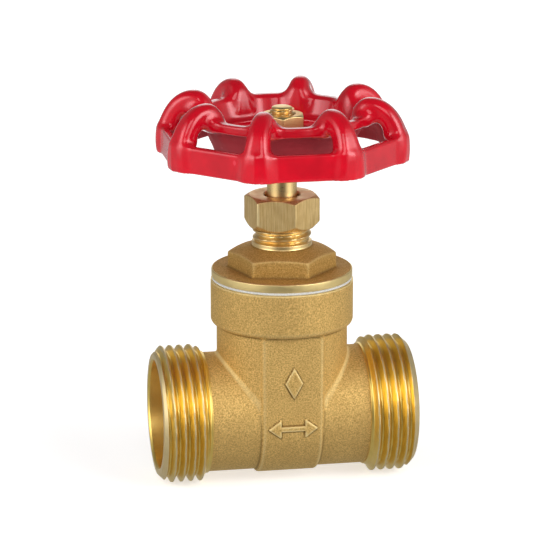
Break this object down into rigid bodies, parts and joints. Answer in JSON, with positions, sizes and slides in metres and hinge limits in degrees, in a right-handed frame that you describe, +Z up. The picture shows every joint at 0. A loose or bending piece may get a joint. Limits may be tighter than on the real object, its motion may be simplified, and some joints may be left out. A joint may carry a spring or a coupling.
{
  "type": "gate valve",
  "caption": "Small brass gate valve with male threaded ends, a wedge on a turning stem, a hexagonal bonnet and packing nut, and a red lobed handwheel.",
  "frame": {"origin": "where the flow axis crosses the stem axis, in the middle of the port", "axes": "+X along the flow towards one threaded end, +Z up the stem to the handwheel, -Y towards the flat front with the raised arrow"},
  "size_m": [0.0622, 0.0594, 0.0946],
  "materials": {
    "cast_brass": "matt, fine blasted grain",
    "machined_brass": "brushed",
    "polished_brass": "turned and polished",
    "ptfe": "smooth",
    "packing": "graphite",
    "red_coating": "thick glossy coating",
    "zinc_steel": "zinc plated"
  },
  "bodies": {
    "valve_body": {"body": "cast_brass", "bonnet": "cast_brass", "bonnet_gasket": "ptfe", "stem_retaining_ring": "machined_brass", "thrust_washer": "ptfe", "packing_ring_lower": "packing", "packing_ring_middle": "packing", "packing_ring_upper": "packing", "gland_follower": "machined_brass", "packing_nut": "machined_brass"},
    "stem_and_wheel": {"stem": "polished_brass", "handwheel": "red_coating", "wheel_washer": "zinc_steel", "handwheel_nut": "polished_brass"},
    "gate": {"wedge": "machined_brass"}
  },
  "joints": [
    {"name": "handwheel_turn", "type": "hinge", "parent": "valve_body", "child": "stem_and_wheel", "pos_m": [0, 0, 0.06], "axis": [0, 0, 1], "range_deg": [-2880, 0]},
    {"name": "wedge_lift", "type": "slide", "parent": "valve_body", "child": "gate", "axis": [0, 0, 1], "range_m": [-0.0201, 0]}
  ],
  "couplings": [
    {"joint": "wedge_lift", "follows": "handwheel_turn", "m_per_rad": 0.00039789}
  ]
}
